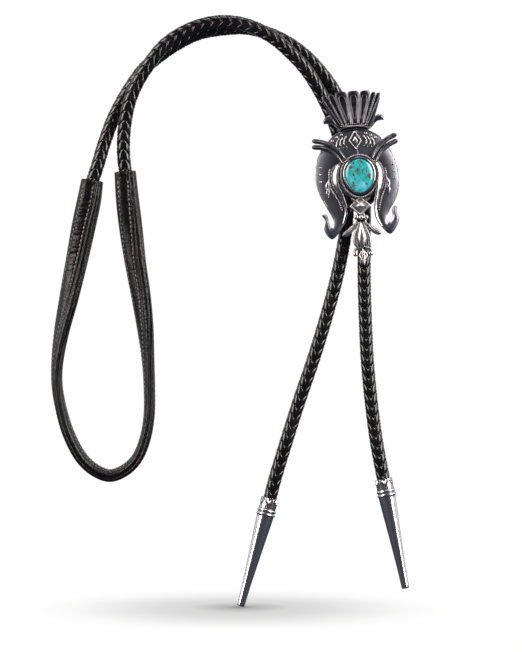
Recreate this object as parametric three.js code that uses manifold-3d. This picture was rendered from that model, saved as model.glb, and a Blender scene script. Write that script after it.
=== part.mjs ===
// A bolo tie hung over a rail: a stitched leather neck strap, two plaited leather cords that rise
// from its ends, run side by side over the rail and down through the back of a silver slide, and a
// long silver tip on each cord's free end. Millimetres, +Z up, front towards -Y. The origin is the
// underside of the cords at the top of their arc, where they rest on what holds them.
import * as THREE from "three";
import { mergeVertices } from "three/addons/utils/BufferGeometryUtils.js";
import Module from "manifold-3d";

const wasm = await Module();
wasm.setup();

// Driving dimensions
const CORD_DIAMETER = 6;
const CORD_SIDES = 10;
const CORD_STEPS = 76;
const GAP = 0.3;
const SOCKET_RADIUS = CORD_DIAMETER / 2 + GAP;

const STRAP_RINGS = 54;
const STRAP_SIDES = 16;
const STRAP_SQUARENESS = 0.62;
const STRAP_SOCKET_DEPTH = 9;

const TIP_LENGTH = 47.5;
const TIP_SOCKET_DEPTH = 9.6;
const TIP_MOUTH_RADIUS = 3.7;
const TIP_END_RADIUS = 1.55;
const TIP_SIDES = 24;

const SLIDE_CENTRE = { x: 56.5, z: -60.2 };
const SLIDE_LEAN = THREE.MathUtils.degToRad(-3.7);
const PLATE_BACK = 4.3;
const PLATE_FRONT = 5.8;
const PLATE_HALF_WIDTH = 17.9;
const PLATE_HALF_HEIGHT = 19.4;
const PLATE_CENTRE_HEIGHT = 0.8;
const BEZEL = { u: 0.4, v: 0.4, wide: 8.7, high: 9.7, wall: 1.2, front: 8.4 };
const STONE = { wide: 5.9, high: 7.2, front: 9.4 };
const GUIDE_LENGTH = 12;
const GUIDE_OFFSET = -1.45;
const GUIDE_SPACING = 7.3;
const GUIDE_WALL = 0.8;

// Routes of the two cords, each from inside the strap's end to inside its tip
const FRONT_CORD = [
  [-41.8, 0, -66.8], [-42.4, 0, -58], [-43, -0.2, -53], [-43.2, -0.6, -47],
  [-42.9, -1.2, -41], [-42.2, -2, -35.5], [-40.3, -2.9, -27.5], [-37.2, -3.2, -20.3],
  [-33.2, -3.2, -13.8], [-25.9, -3.2, -4.6], [-17.7, -3.2, 1.1], [-9.6, -3.2, 4.3],
  [-1, -3.2, 5.6], [8.5, -3.2, 4.4], [20, -3.1, -0.9], [29.9, -2.8, -9.6],
  [35.2, -2.1, -15.7], [39.4, -1.2, -22.3], [42.6, -0.5, -28.2], [45.2, -0.2, -34],
  [47.9, 0, -41.5], [50, 0, -49], [51, 0, -54], [51.8, 0, -66.5],
  [52, 0, -73], [51.7, 0, -79.5], [50.6, 0, -88], [47.3, 0, -104],
  [42.7, 0, -121], [37.5, 0, -138], [31.7, 0, -155], [26.3, 0, -172],
  [21.3, 0, -188.5], [19.1, 0, -197], [16.7, 0, -205.8],
];
const REAR_CORD = [
  [-57.9, 0, -70.6], [-56.4, 0, -62.2], [-54.9, 0, -57.5], [-53.5, 0.1, -53],
  [-52.3, 0.5, -48.7], [-50.9, 1, -44.3], [-47.9, 2, -36], [-43.6, 3, -27.3],
  [-39.4, 3.2, -20.5], [-34.8, 3.2, -14.2], [-29, 3.2, -9.2], [-20.6, 3.2, -3.4],
  [-11.3, 3.2, 1.1], [-1, 3.2, 3], [9, 3.2, 3.4], [18.1, 3.2, 1.2],
  [26.4, 3.2, -2.7], [34.2, 3.1, -8.4], [40.4, 2.9, -14.9], [45.6, 2.6, -21.9],
  [49, 2.1, -27.7], [52.1, 1.3, -34.8], [54.6, 0.5, -41.5], [57.1, 0, -48.5],
  [58.2, 0, -53.8], [59.1, 0, -66.3], [59.3, 0, -76], [59.2, 0, -88],
  [59.2, 0, -104], [59.7, 0, -121], [60.5, 0, -138], [62.1, 0, -155],
  [64.3, 0, -172], [67.4, 0, -188.7], [69.2, 0, -197.6],
];

// The strap's line, from its left end round the bottom to its right end. Turn is the angle from
// edge-on (0) to the stitched outer face showing in front (90) or the inner face in front (-90).
const STRAP_STATIONS = [
  { x: -56.5, z: -61.8, turn: 90, wide: 9.4, thick: 8.8 },
  { x: -57.8, z: -70, turn: 88, wide: 10.2, thick: 8.6 },
  { x: -59.8, z: -79.5, turn: 80, wide: 10.2, thick: 6.6 },
  { x: -62.9, z: -95, turn: 66, wide: 9.8, thick: 5 },
  { x: -66.6, z: -112.5, turn: 46, wide: 9.6, thick: 4.6 },
  { x: -69.4, z: -125.5, turn: 28, wide: 9.6, thick: 4.4 },
  { x: -71.2, z: -138, turn: 13, wide: 9.6, thick: 4.4 },
  { x: -71.5, z: -148, turn: 4, wide: 9.6, thick: 4.4 },
  { x: -70, z: -158, turn: -2, wide: 9.6, thick: 4.4 },
  { x: -66.6, z: -169.5, turn: -7, wide: 9.6, thick: 4.4 },
  { x: -60.9, z: -180, turn: -9, wide: 9.6, thick: 4.4 },
  { x: -55, z: -185.2, turn: -10, wide: 9.6, thick: 4.4 },
  { x: -48.9, z: -187.3, turn: -10, wide: 9.6, thick: 4.4 },
  { x: -42.6, z: -185, turn: -9, wide: 9.6, thick: 4.4 },
  { x: -37.6, z: -180.2, turn: -6, wide: 9.6, thick: 4.4 },
  { x: -34.1, z: -172, turn: -3, wide: 9.6, thick: 4.4 },
  { x: -32.3, z: -162, turn: -4, wide: 9.6, thick: 4.4 },
  { x: -32.1, z: -151, turn: -7, wide: 9.6, thick: 4.4 },
  { x: -32.7, z: -138, turn: -14, wide: 9.6, thick: 4.4 },
  { x: -34, z: -124, turn: -32, wide: 9.6, thick: 4.5 },
  { x: -35.9, z: -110, turn: -48, wide: 9.6, thick: 4.6 },
  { x: -38.3, z: -95.5, turn: -58, wide: 9.7, thick: 5 },
  { x: -40.2, z: -81, turn: -76, wide: 9.9, thick: 6.2 },
  { x: -41.6, z: -69, turn: -88, wide: 9.8, thick: 8.4 },
  { x: -42.5, z: -58.1, turn: -90, wide: 9.2, thick: 8.8 },
];

const blackLeather = new THREE.MeshStandardMaterial({ color: 0x17151a, roughness: 0.5 });
const grainedLeather = new THREE.MeshStandardMaterial({ color: 0x1c1a1e, roughness: 0.58 });
const silver = new THREE.MeshStandardMaterial({ color: 0xb9bbc0, roughness: 0.25, metalness: 1 });
const turquoise = new THREE.MeshStandardMaterial({ color: 0x3f9a9e, roughness: 0.3 });

// Solids: a closed geometry as a solid, and a solid as a geometry to draw
function solidOf(geometry) {
  const bare = geometry.clone();
  bare.deleteAttribute("normal");
  bare.deleteAttribute("uv");
  const merged = mergeVertices(bare, 1e-4);
  const vertProperties = new Float32Array(merged.attributes.position.array);
  const triVerts = new Uint32Array(merged.index.array);
  return new wasm.Manifold(new wasm.Mesh({ numProp: 3, vertProperties, triVerts }));
}

function geometryOf(solid) {
  const mesh = solid.getMesh();
  const geometry = new THREE.BufferGeometry();
  geometry.setAttribute("position", new THREE.BufferAttribute(mesh.vertProperties, 3));
  geometry.setIndex(new THREE.BufferAttribute(mesh.triVerts, 1));
  const flat = geometry.toNonIndexed();
  flat.computeVertexNormals();
  return flat;
}

function joined(solids) {
  return solids.reduce((whole, piece) => whole.add(piece));
}

function meshOf(name, geometry, material) {
  const mesh = new THREE.Mesh(geometry, material);
  mesh.name = name;
  return mesh;
}

// A round cord along its route
function cordGeometry(route) {
  const points = route.map(([x, y, z]) => new THREE.Vector3(x, y, z));
  const section = new THREE.Shape();
  for (let side = 0; side < CORD_SIDES; side += 1) {
    const angle = (2 * Math.PI * side) / CORD_SIDES;
    const x = (CORD_DIAMETER / 2) * Math.cos(angle);
    const y = (CORD_DIAMETER / 2) * Math.sin(angle);
    if (side === 0) section.moveTo(x, y);
    else section.lineTo(x, y);
  }
  section.closePath();
  const extrudePath = new THREE.CatmullRomCurve3(points, false, "centripetal");
  return new THREE.ExtrudeGeometry(section, { steps: CORD_STEPS, extrudePath, bevelEnabled: false });
}

// The strap: a rounded flat section carried along its stations, turning as it goes
function strapSolid() {
  const stations = STRAP_STATIONS.map((row) => new THREE.Vector3(row.x, 0, row.z));
  const line = new THREE.CatmullRomCurve3(stations, false, "centripetal");
  const front = new THREE.Vector3(0, -1, 0);
  const positions = [];
  const index = [];
  for (let ring = 0; ring < STRAP_RINGS; ring += 1) {
    const along = ring / (STRAP_RINGS - 1);
    const station = along * (STRAP_STATIONS.length - 1);
    const low = Math.min(Math.floor(station), STRAP_STATIONS.length - 2);
    const share = station - low;
    const [here, next] = [STRAP_STATIONS[low], STRAP_STATIONS[low + 1]];
    const centre = line.getPoint(along);
    const tangent = line.getTangent(along);
    const turn = THREE.MathUtils.degToRad(THREE.MathUtils.lerp(here.turn, next.turn, share));
    const wide = THREE.MathUtils.lerp(here.wide, next.wide, share);
    const thick = THREE.MathUtils.lerp(here.thick, next.thick, share);
    const outward = new THREE.Vector3(tangent.z, 0, -tangent.x);
    const edgeway = front.clone().multiplyScalar(Math.cos(turn)).addScaledVector(outward, -Math.sin(turn));
    const faceway = outward.clone().multiplyScalar(Math.cos(turn)).addScaledVector(front, Math.sin(turn));
    for (let side = 0; side < STRAP_SIDES; side += 1) {
      const angle = (2 * Math.PI * side) / STRAP_SIDES;
      const across = Math.sign(Math.cos(angle)) * Math.abs(Math.cos(angle)) ** STRAP_SQUARENESS;
      const through = Math.sign(Math.sin(angle)) * Math.abs(Math.sin(angle)) ** STRAP_SQUARENESS;
      const point = centre.clone().addScaledVector(edgeway, (across * wide) / 2);
      point.addScaledVector(faceway, (through * thick) / 2);
      positions.push(point.x, point.y, point.z);
    }
  }
  for (let ring = 0; ring < STRAP_RINGS - 1; ring += 1) {
    for (let side = 0; side < STRAP_SIDES; side += 1) {
      const a = ring * STRAP_SIDES + side;
      const b = ring * STRAP_SIDES + ((side + 1) % STRAP_SIDES);
      index.push(a, b, b + STRAP_SIDES, a, b + STRAP_SIDES, a + STRAP_SIDES);
    }
  }
  const last = (STRAP_RINGS - 1) * STRAP_SIDES;
  for (let side = 1; side < STRAP_SIDES - 1; side += 1) {
    index.push(0, side + 1, side);
    index.push(last, last + side, last + side + 1);
  }
  const geometry = new THREE.BufferGeometry();
  geometry.setAttribute("position", new THREE.Float32BufferAttribute(positions, 3));
  geometry.setIndex(index);
  return solidOf(geometry);
}

// A socket bored into a strap end, along the cord that comes out of it
function strapSocket(route) {
  const [inner, mouth] = [route[0], route[1]].map(([x, y, z]) => new THREE.Vector3(x, y, z));
  const direction = mouth.clone().sub(inner).normalize();
  const bore = new THREE.CylinderGeometry(SOCKET_RADIUS, SOCKET_RADIUS, 2 * STRAP_SOCKET_DEPTH, 20);
  const turned = new THREE.Quaternion().setFromUnitVectors(new THREE.Vector3(0, 1, 0), direction);
  const centre = inner.clone().addScaledVector(direction, STRAP_SOCKET_DEPTH - GAP);
  bore.applyQuaternion(turned).translate(centre.x, centre.y, centre.z);
  return solidOf(bore);
}

// A tip: a long hollow cone with two wire rings and a socket for the cord, mouth up at the origin
function tipGeometry() {
  const bore = SOCKET_RADIUS;
  const profile = [
    [0, -TIP_SOCKET_DEPTH], [bore, -TIP_SOCKET_DEPTH], [bore, 0], [TIP_MOUTH_RADIUS, 0],
    [TIP_MOUTH_RADIUS, -4.4],
    [4.1, -4.8], [4.1, -5.6], [TIP_MOUTH_RADIUS, -6], [4.1, -6.4], [4.1, -7.2],
    [TIP_MOUTH_RADIUS, -7.6], [3.35, -14], [2.75, -24], [2.1, -36],
    [TIP_END_RADIUS, -TIP_LENGTH + 0.5], [TIP_END_RADIUS - 0.4, -TIP_LENGTH], [0, -TIP_LENGTH],
  ];
  const points = profile.map(([radius, height]) => new THREE.Vector2(radius, height)).reverse();
  return new THREE.LatheGeometry(points, TIP_SIDES);
}

function tipMesh(name, route) {
  const [inner, mouth] = [route.at(-1), route.at(-2)].map(([x, y, z]) => new THREE.Vector3(x, y, z));
  const upward = mouth.clone().sub(inner).normalize();
  const mesh = meshOf(name, tipGeometry(), silver);
  mesh.quaternion.setFromUnitVectors(new THREE.Vector3(0, 1, 0), upward);
  mesh.position.copy(mouth);
  return mesh;
}

// Slide pieces are drawn in the slide's own face plane (across, up) and stand from one distance in
// front of the cords' centre plane to another
function slab(shape, back, front) {
  const options = { depth: front - back, bevelEnabled: false, curveSegments: 10 };
  const geometry = new THREE.ExtrudeGeometry(shape, options);
  return solidOf(geometry.translate(0, 0, back).rotateX(Math.PI / 2));
}

function smooth(points, count) {
  return new THREE.SplineCurve(points.map(([u, v]) => new THREE.Vector2(u, v))).getPoints(count);
}

function ellipsePoints(centreU, centreV, wide, high, fromDegrees, toDegrees, count) {
  const [from, to] = [fromDegrees, toDegrees].map(THREE.MathUtils.degToRad);
  const curve = new THREE.EllipseCurve(centreU, centreV, wide, high, from, to, to < from);
  return curve.getPoints(count);
}

function mirroredShape(rightHalf) {
  const left = rightHalf.map((point) => new THREE.Vector2(-point.x, point.y)).reverse();
  return new THREE.Shape([...rightHalf, ...left.slice(1, -1)]);
}

// Oval plate whose lower arms part from the stone's seat and end in hooks
function plateSolid() {
  const rim = ellipsePoints(0, PLATE_CENTRE_HEIGHT, PLATE_HALF_WIDTH, PLATE_HALF_HEIGHT, 90, -40, 20);
  const hook = smooth([[11.7, -17.2], [11.6, -20.4], [12.8, -19.2], [12.9, -16.5], [15, -13.6]], 12);
  const horn = smooth([[16.1, -14], [14.8, -15.6], [15.2, -17.4], [16.2, -18.9]], 6);
  const toe = smooth([[15.4, -21.9], [12.4, -25.4], [8.4, -22.2], [5.7, -17.4], [5.9, -12.3]], 12);
  const inner = smooth([[7.4, -8.8], [9.7, -3.8], [10.3, 1.1], [8.7, 5.2]], 8);
  const seat = ellipsePoints(0, BEZEL.v, BEZEL.wide, BEZEL.high, 18, -90, 12);
  const outline = mirroredShape([...rim, ...hook, ...horn, ...toe, ...inner, ...seat]);
  return slab(outline, PLATE_BACK, PLATE_FRONT);
}

// Fan crown: round-ended blades that spread from one point below, over a plain back web with two
// side horns
const FAN_ROOT = 5.3;
const FAN_TOP = 35.6;
const FAN_FOOT = 19;
const FAN_BLADES = [
  { u: 0, foot: 1.3, top: 2.5 },
  { u: 5, foot: 1.2, top: 2.2 },
  { u: 9.3, foot: 0.55, top: 1.25 },
  { u: 12, foot: 0.55, top: 1.15 },
];

function bladeSolid(blade, side) {
  const angle = Math.atan2(blade.u * side, FAN_TOP - FAN_ROOT);
  const from = (FAN_FOOT - FAN_ROOT) / Math.cos(angle);
  const to = (FAN_TOP - FAN_ROOT) / Math.cos(angle) - blade.top * 0.6;
  const shape = new THREE.Shape();
  shape.moveTo(blade.foot, from);
  shape.lineTo(blade.top, to);
  shape.absellipse(0, to, blade.top, blade.top, 0, Math.PI, false);
  shape.lineTo(-blade.foot, from);
  shape.closePath();
  const solid = slab(shape, PLATE_BACK + 0.2, PLATE_FRONT + 0.7);
  return solid.rotate([0, THREE.MathUtils.radToDeg(angle), 0]).translate([0, 0, FAN_ROOT]);
}

function fanSolid() {
  const half = [[0, 34], [4.6, 33.6], [11.4, 33.4], [9, 26.4], [11.2, 26], [13, 23.2], [10.3, 23.2]];
  half.push([7.2, 20.6], [6.5, 18.4], [0, 19]);
  const web = slab(mirroredShape(half.map(([u, v]) => new THREE.Vector2(u, v))), PLATE_BACK, PLATE_FRONT);
  const blades = FAN_BLADES.flatMap((blade) => {
    const sides = blade.u === 0 ? [1] : [1, -1];
    return sides.map((side) => bladeSolid(blade, side));
  });
  return joined([web, ...blades]);
}

// Bezel: an oval wall that holds the stone
function ovalShape(wide, high) {
  const shape = new THREE.Shape();
  shape.absellipse(BEZEL.u, BEZEL.v, wide, high, 0, 2 * Math.PI, false);
  return shape;
}

function bezelSolid() {
  const shape = ovalShape(BEZEL.wide - 0.6, BEZEL.high - 0.6);
  shape.holes.push(new THREE.Path(ovalShape(STONE.wide + GAP, STONE.high + GAP).getPoints(14)));
  return slab(shape, PLATE_FRONT - 0.2, BEZEL.front);
}

// Stone: a low oval dome with a straight girdle
function stoneGeometry() {
  const girdle = BEZEL.front - PLATE_FRONT - GAP;
  const rise = STONE.front - BEZEL.front;
  const profile = [[0, 0], [1, 0], [1, girdle], [0.86, girdle + rise * 0.45], [0.6, girdle + rise * 0.8]];
  profile.push([0.3, girdle + rise * 0.96], [0, girdle + rise]);
  const points = profile.map(([share, height]) => new THREE.Vector2(share, height));
  const dome = new THREE.LatheGeometry(points, 28);
  dome.scale(STONE.wide, 1, STONE.high);
  return dome.rotateX(Math.PI);
}

// A ball half sunk in the plate
function ballSolid(u, v, radius, forward) {
  const ball = new THREE.SphereGeometry(radius, 10, 8);
  return solidOf(ball.translate(u, -forward, v));
}

// Lower pendant: diamond, knob, pod with two leaves, and a foot with two scrolls
function pendantSolid() {
  const spine = smooth([[1.1, -8.6], [3.9, -12.4], [1.5, -15.4], [2.9, -17.3], [1.4, -19.2]], 14);
  const leaf = smooth([[3.4, -23.6], [7.4, -22.4], [7.7, -24.6], [3.6, -27.6]], 8);
  const foot = smooth([[1.6, -30.4], [3.9, -32], [3.8, -34], [1.7, -35.6], [0, -37.9]], 10);
  const outline = mirroredShape([new THREE.Vector2(0, -8), ...spine, ...leaf, ...foot]);
  const plate = slab(outline, PLATE_BACK, PLATE_FRONT);
  const pod = new THREE.SphereGeometry(1, 16, 12).scale(2.3, 1.9, 5.4).translate(0, -PLATE_FRONT, -25);
  const balls = [-1, 0, 1].map((side) => ballSolid(side * 2.1, -17.3, 1.1, PLATE_FRONT));
  const scrolls = [-1, 1].map((side) => ballSolid(side * 3, -33, 1.3, PLATE_FRONT));
  return joined([plate, solidOf(pod), ...balls, ...scrolls]);
}

// Feathers: two curved ribs from each side of the bezel up to the plate's rim
function featherSolid(side, rise) {
  const route = [[6.3, 7.2 - rise], [8.6, 11 - rise], [12, 14.2 - rise], [17.6, 16.6 - rise]];
  const points = route.map(([u, v]) => new THREE.Vector3(side * u, -PLATE_FRONT, v));
  const section = new THREE.Shape();
  section.absellipse(0, 0, 1, 1, 0, 2 * Math.PI, false);
  const extrudePath = new THREE.CatmullRomCurve3(points);
  const options = { steps: 8, extrudePath, curveSegments: 4, bevelEnabled: false };
  return solidOf(new THREE.ExtrudeGeometry(section, options));
}

// Back guide: two tubes side by side that the cords run through, on a pad under the plate
function guideSolid() {
  const radius = SOCKET_RADIUS + GUIDE_WALL;
  const shape = new THREE.Shape();
  const reach = GUIDE_SPACING / 2;
  shape.absarc(GUIDE_OFFSET + reach, 0, radius, -Math.PI / 2, Math.PI / 2, false);
  shape.absarc(GUIDE_OFFSET - reach, 0, radius, Math.PI / 2, (3 * Math.PI) / 2, false);
  shape.closePath();
  for (const side of [-1, 1]) {
    const bore = new THREE.Path();
    bore.absarc(GUIDE_OFFSET + side * reach, 0, SOCKET_RADIUS, 0, 2 * Math.PI, true);
    shape.holes.push(bore);
  }
  const options = { depth: GUIDE_LENGTH, curveSegments: 12, bevelEnabled: false };
  const tubes = new THREE.ExtrudeGeometry(shape, options).translate(0, 0, -GUIDE_LENGTH / 2);
  const depth = PLATE_BACK + 0.2 - (SOCKET_RADIUS + 0.1);
  const pad = new THREE.BoxGeometry(2 * reach, depth, GUIDE_LENGTH);
  pad.translate(GUIDE_OFFSET, -(PLATE_BACK + 0.2) + depth / 2, 0);
  return joined([solidOf(tubes), solidOf(pad)]);
}

function slideGeometry() {
  const feathers = [-1, 1].flatMap((side) => [featherSolid(side, 0), featherSolid(side, 2.5)]);
  const pieces = [plateSolid(), fanSolid(), bezelSolid(), pendantSolid(), guideSolid(), ...feathers];
  const seatHollow = slab(ovalShape(STONE.wide + GAP, STONE.high + GAP), PLATE_FRONT, STONE.front + 3);
  return geometryOf(joined(pieces).subtract(seatHollow));
}

// Assembly
const slide = new THREE.Group();
slide.position.set(SLIDE_CENTRE.x, 0, SLIDE_CENTRE.z);
slide.rotation.y = SLIDE_LEAN;
const stone = meshOf("turquoise_cabochon", stoneGeometry(), turquoise);
stone.position.set(BEZEL.u, -PLATE_FRONT - GAP, BEZEL.v);
slide.add(meshOf("silver_slide", slideGeometry(), silver), stone);

const strap = strapSolid().subtract(strapSocket(FRONT_CORD)).subtract(strapSocket(REAR_CORD));

const boloTie = new THREE.Group();
boloTie.add(
  meshOf("neck_strap", geometryOf(strap), grainedLeather),
  meshOf("cord_front", cordGeometry(FRONT_CORD), blackLeather),
  meshOf("cord_rear", cordGeometry(REAR_CORD), blackLeather),
  slide,
  tipMesh("tip_left", FRONT_CORD),
  tipMesh("tip_right", REAR_CORD),
);

export default boloTie;
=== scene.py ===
"""A bolo tie hung over a rail: plaited cords, stitched neck strap, silver slide with a turquoise, two tips."""
import math

import bpy
import numpy as np
from mathutils import Matrix


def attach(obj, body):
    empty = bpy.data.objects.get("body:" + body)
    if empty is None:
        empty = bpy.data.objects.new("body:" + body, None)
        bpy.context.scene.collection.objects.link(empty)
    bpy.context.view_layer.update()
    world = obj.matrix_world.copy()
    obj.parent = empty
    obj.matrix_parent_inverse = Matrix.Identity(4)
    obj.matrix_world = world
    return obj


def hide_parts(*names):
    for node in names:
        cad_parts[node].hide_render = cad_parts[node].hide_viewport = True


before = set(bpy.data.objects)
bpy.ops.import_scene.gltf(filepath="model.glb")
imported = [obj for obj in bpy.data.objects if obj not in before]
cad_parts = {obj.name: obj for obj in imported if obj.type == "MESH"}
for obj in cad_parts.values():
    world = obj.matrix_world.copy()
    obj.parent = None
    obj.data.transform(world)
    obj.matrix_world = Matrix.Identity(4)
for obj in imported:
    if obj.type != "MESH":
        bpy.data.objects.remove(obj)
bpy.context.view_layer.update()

# ---------------------------------------------------------------- sizes, in millimetres
MM = 0.001
FRAME_WIDE = 222.1
FRAME_CENTRE = (15.3, -123.6)
CAMERA_DISTANCE = 1600.0
FLOOR = -243.2
# where the painted shadows sit on the floor, in metres: a wide soft one below the tips and a small dark one under the
# left tip
PAINTED_SHADOW_CENTRE = (0.006, -0.01, -0.2432)
PAINTED_SHADOW_REACH = (0.1, 0.135, 0.05)
PAINTED_CONTACT_SHADOW_CENTRE = (0.0067, 0.0, -0.2432)
PAINTED_CONTACT_SHADOW_REACH = (0.022, 0.03, 0.02)

FRONT_CORD = [
    (-41.8, 0, -66.8), (-42.4, 0, -58), (-43, -0.2, -53), (-43.2, -0.6, -47),
    (-42.9, -1.2, -41), (-42.2, -2, -35.5), (-40.3, -2.9, -27.5), (-37.2, -3.2, -20.3),
    (-33.2, -3.2, -13.8), (-25.9, -3.2, -4.6), (-17.7, -3.2, 1.1), (-9.6, -3.2, 4.3),
    (-1, -3.2, 5.6), (8.5, -3.2, 4.4), (20, -3.1, -0.9), (29.9, -2.8, -9.6),
    (35.2, -2.1, -15.7), (39.4, -1.2, -22.3), (42.6, -0.5, -28.2), (45.2, -0.2, -34),
    (47.9, 0, -41.5), (50, 0, -49), (51, 0, -54), (51.8, 0, -66.5),
    (52, 0, -73), (51.7, 0, -79.5), (50.6, 0, -88), (47.3, 0, -104),
    (42.7, 0, -121), (37.5, 0, -138), (31.7, 0, -155), (26.3, 0, -172),
    (21.3, 0, -188.5), (19.1, 0, -197), (16.7, 0, -205.8),
]
REAR_CORD = [
    (-57.9, 0, -70.6), (-56.4, 0, -62.2), (-54.9, 0, -57.5), (-53.5, 0.1, -53),
    (-52.3, 0.5, -48.7), (-50.9, 1, -44.3), (-47.9, 2, -36), (-43.6, 3, -27.3),
    (-39.4, 3.2, -20.5), (-34.8, 3.2, -14.2), (-29, 3.2, -9.2), (-20.6, 3.2, -3.4),
    (-11.3, 3.2, 1.1), (-1, 3.2, 3), (9, 3.2, 3.4), (18.1, 3.2, 1.2),
    (26.4, 3.2, -2.7), (34.2, 3.1, -8.4), (40.4, 2.9, -14.9), (45.6, 2.6, -21.9),
    (49, 2.1, -27.7), (52.1, 1.3, -34.8), (54.6, 0.5, -41.5), (57.1, 0, -48.5),
    (58.2, 0, -53.8), (59.1, 0, -66.3), (59.3, 0, -76), (59.2, 0, -88),
    (59.2, 0, -104), (59.7, 0, -121), (60.5, 0, -138), (62.1, 0, -155),
    (64.3, 0, -172), (67.4, 0, -188.7), (69.2, 0, -197.6),
]

# x, z, turn from edge-on in degrees, width, thickness
STRAP_STATIONS = [
    (-56.5, -61.8, 90, 9.4, 8.8), (-57.8, -70, 88, 10.2, 8.6), (-59.8, -79.5, 80, 10.2, 6.6),
    (-62.9, -95, 66, 9.8, 5), (-66.6, -112.5, 46, 9.6, 4.6), (-69.4, -125.5, 28, 9.6, 4.4),
    (-71.2, -138, 13, 9.6, 4.4), (-71.5, -148, 4, 9.6, 4.4), (-70, -158, -2, 9.6, 4.4),
    (-66.6, -169.5, -7, 9.6, 4.4), (-60.9, -180, -9, 9.6, 4.4), (-55, -185.2, -10, 9.6, 4.4),
    (-48.9, -187.3, -10, 9.6, 4.4), (-42.6, -185, -9, 9.6, 4.4), (-37.6, -180.2, -6, 9.6, 4.4),
    (-34.1, -172, -3, 9.6, 4.4), (-32.3, -162, -4, 9.6, 4.4), (-32.1, -151, -7, 9.6, 4.4),
    (-32.7, -138, -14, 9.6, 4.4), (-34, -124, -32, 9.6, 4.5), (-35.9, -110, -48, 9.6, 4.6),
    (-38.3, -95.5, -58, 9.7, 5), (-40.2, -81, -76, 9.9, 6.2), (-41.6, -69, -88, 9.8, 8.4),
    (-42.5, -58.1, -90, 9.2, 8.8),
]


# ---------------------------------------------------------------- curves
def catmull_rom(points, per_span=24):
    """Centripetal Catmull-Rom curve through the points: in each span the four nearest points are blended by
    knots spaced as the square root of their distances, and the end spans use mirrored neighbours."""
    points = np.asarray(points, float)
    padded = np.vstack([2 * points[0] - points[1], points, 2 * points[-1] - points[-2]])
    gaps = np.sqrt(np.linalg.norm(np.diff(padded[:, :3], axis=0), axis=1))
    knots = np.concatenate([[0], np.cumsum(gaps)])
    spans = np.arange(1, len(padded) - 2)
    share = np.linspace(0, 1, per_span, endpoint=False)
    t = (knots[spans, None] + share[None, :] * gaps[spans, None])[..., None]
    k = [knots[spans + i][:, None, None] for i in (-1, 0, 1, 2)]
    p = [padded[spans + i][:, None, :] for i in (-1, 0, 1, 2)]

    def blend(a, b, low, high):
        return (high - t) / (high - low) * a + (t - low) / (high - low) * b

    first = [blend(p[i], p[i + 1], k[i], k[i + 1]) for i in range(3)]
    second = [blend(first[i], first[i + 1], k[i], k[i + 2]) for i in range(2)]
    curve = blend(second[0], second[1], k[1], k[2]).reshape(-1, points.shape[1])
    return np.vstack([curve, points[-1]])


def even(curve, step):
    """The curve's points moved to an even spacing near step along it, with their distances from the start."""
    run = np.concatenate([[0], np.cumsum(np.linalg.norm(np.diff(curve[:, :3], axis=0), axis=1))])
    count = max(2, int(round(run[-1] / step)) + 1)
    distance = np.linspace(0, run[-1], count)
    columns = [np.interp(distance, run, curve[:, i]) for i in range(curve.shape[1])]
    return np.stack(columns, axis=1), distance


def unit(vectors):
    return vectors / np.linalg.norm(vectors, axis=-1, keepdims=True)


def smooth_line(points, count=32):
    """A smooth curve through flat points, resampled to count even points."""
    curve = catmull_rom(points)
    run = np.concatenate([[0], np.cumsum(np.linalg.norm(np.diff(curve, axis=0), axis=1))])
    distance = np.linspace(0, run[-1], count)
    return np.stack([np.interp(distance, run, curve[:, i]) for i in range(curve.shape[1])], axis=1)


def soft_step(value, low, high):
    """0 below low, 1 above high, and the smooth cubic 3s^2 - 2s^3 between."""
    share = np.clip((value - low) / (high - low), 0, 1)
    return share * share * (3 - 2 * share)


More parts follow.
